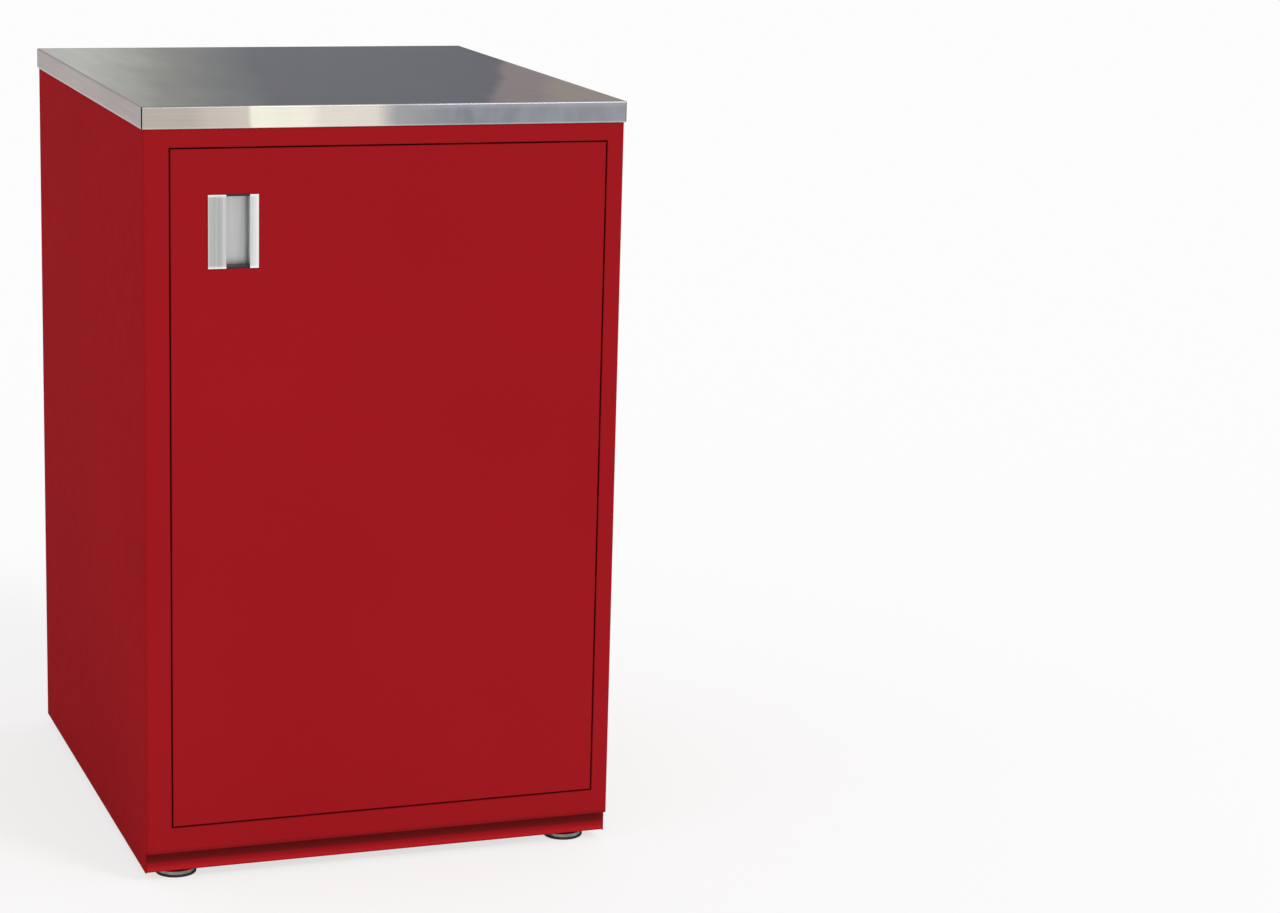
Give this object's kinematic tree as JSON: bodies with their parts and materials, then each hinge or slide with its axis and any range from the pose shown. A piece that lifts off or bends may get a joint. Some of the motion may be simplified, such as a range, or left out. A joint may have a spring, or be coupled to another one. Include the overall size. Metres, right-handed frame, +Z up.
{
  "type": "tool chest side locker",
  "caption": "Steel side locker with a flush swing-out pocket door, an inner shelf, levelling feet and a stainless worktop.",
  "frame": {"origin": "middle of the footprint, on the surface that the feet stand on", "axes": "+Z up, -Y out of the door, +X to the right as seen by someone who faces the door"},
  "size_m": [0.61, 0.711, 0.971],
  "materials": {
    "red_enamel": "satin enamel",
    "stainless": "brushed",
    "zinc_steel": "zinc plated",
    "pull_metal": "satin",
    "black_rubber": "matte",
    "black_plastic": "matte",
    "nylon": "natural",
    "magnet": "plain",
    "board": "raw board"
  },
  "bodies": {
    "cabinet": {"back_panel": "red_enamel", "body_rivets": "zinc_steel", "bottom_rail": "red_enamel", "bumper_bracket": "red_enamel", "bumper_screw": "zinc_steel", "carriage_screws": "zinc_steel", "carrier_strip": "zinc_steel", "catch_housing": "black_plastic", "catch_magnet": "magnet", "catch_screws": "zinc_steel", "door_bumper": "black_rubber", "floor_panel": "red_enamel", "foot_plates": "zinc_steel", "foot_weld_nuts": "zinc_steel", "hinge_arm_screws": "zinc_steel", "left_side_panel": "red_enamel", "lower_carriage": "zinc_steel", "lower_hinge_arm": "zinc_steel", "lower_track": "zinc_steel", "middle_hinge_arm": "zinc_steel", "pocket_divider": "red_enamel", "rear_base_rail": "red_enamel", "right_side_panel": "red_enamel", "roller_axles": "zinc_steel", "shelf_brackets": "red_enamel", "toe_plate": "red_enamel", "top_panel": "red_enamel", "top_rail": "red_enamel", "track_rollers": "nylon", "upper_carriage": "zinc_steel", "upper_hinge_arm": "zinc_steel", "upper_track": "zinc_steel", "worktop_core": "board", "worktop_screws": "zinc_steel", "worktop_skin": "stainless"},
    "door": {"door_skin": "red_enamel", "door_inner_pan": "red_enamel", "door_stiffener": "red_enamel", "door_pull": "pull_metal", "pull_end_caps": "black_plastic", "pull_studs": "zinc_steel", "hinge_pins": "zinc_steel", "lower_hinge_leaf": "zinc_steel", "middle_hinge_leaf": "zinc_steel", "upper_hinge_leaf": "zinc_steel"},
    "shelf": {"shelf_pan": "red_enamel", "shelf_stiffener": "red_enamel"},
    "front_left_foot": {"front_left_foot_cup": "zinc_steel", "front_left_foot_pad": "black_rubber", "front_left_foot_stem": "zinc_steel"},
    "front_right_foot": {"front_right_foot_cup": "zinc_steel", "front_right_foot_pad": "black_rubber", "front_right_foot_stem": "zinc_steel"},
    "rear_left_foot": {"rear_left_foot_cup": "zinc_steel", "rear_left_foot_pad": "black_rubber", "rear_left_foot_stem": "zinc_steel"},
    "rear_right_foot": {"rear_right_foot_cup": "zinc_steel", "rear_right_foot_pad": "black_rubber", "rear_right_foot_stem": "zinc_steel"}
  },
  "joints": [
    {"name": "door_swing", "type": "hinge", "parent": "cabinet", "child": "door", "pos_m": [0.2665, -0.3475, 0.497], "axis": [0, 0, 1], "range_deg": [0, 90]},
    {"name": "shelf_lift", "type": "slide", "parent": "cabinet", "child": "shelf", "axis": [0, 0, 1], "range_m": [0, 0.012]},
    {"name": "front_left_foot_turn", "type": "hinge", "parent": "cabinet", "child": "front_left_foot", "pos_m": [-0.258, -0.31, 0.02], "axis": [0, 0, 1], "continuous": true},
    {"name": "front_right_foot_turn", "type": "hinge", "parent": "cabinet", "child": "front_right_foot", "pos_m": [0.258, -0.31, 0.02], "axis": [0, 0, 1], "continuous": true},
    {"name": "rear_left_foot_turn", "type": "hinge", "parent": "cabinet", "child": "rear_left_foot", "pos_m": [-0.258, 0.31, 0.02], "axis": [0, 0, 1], "continuous": true},
    {"name": "rear_right_foot_turn", "type": "hinge", "parent": "cabinet", "child": "rear_right_foot", "pos_m": [0.258, 0.31, 0.02], "axis": [0, 0, 1], "continuous": true}
  ]
}
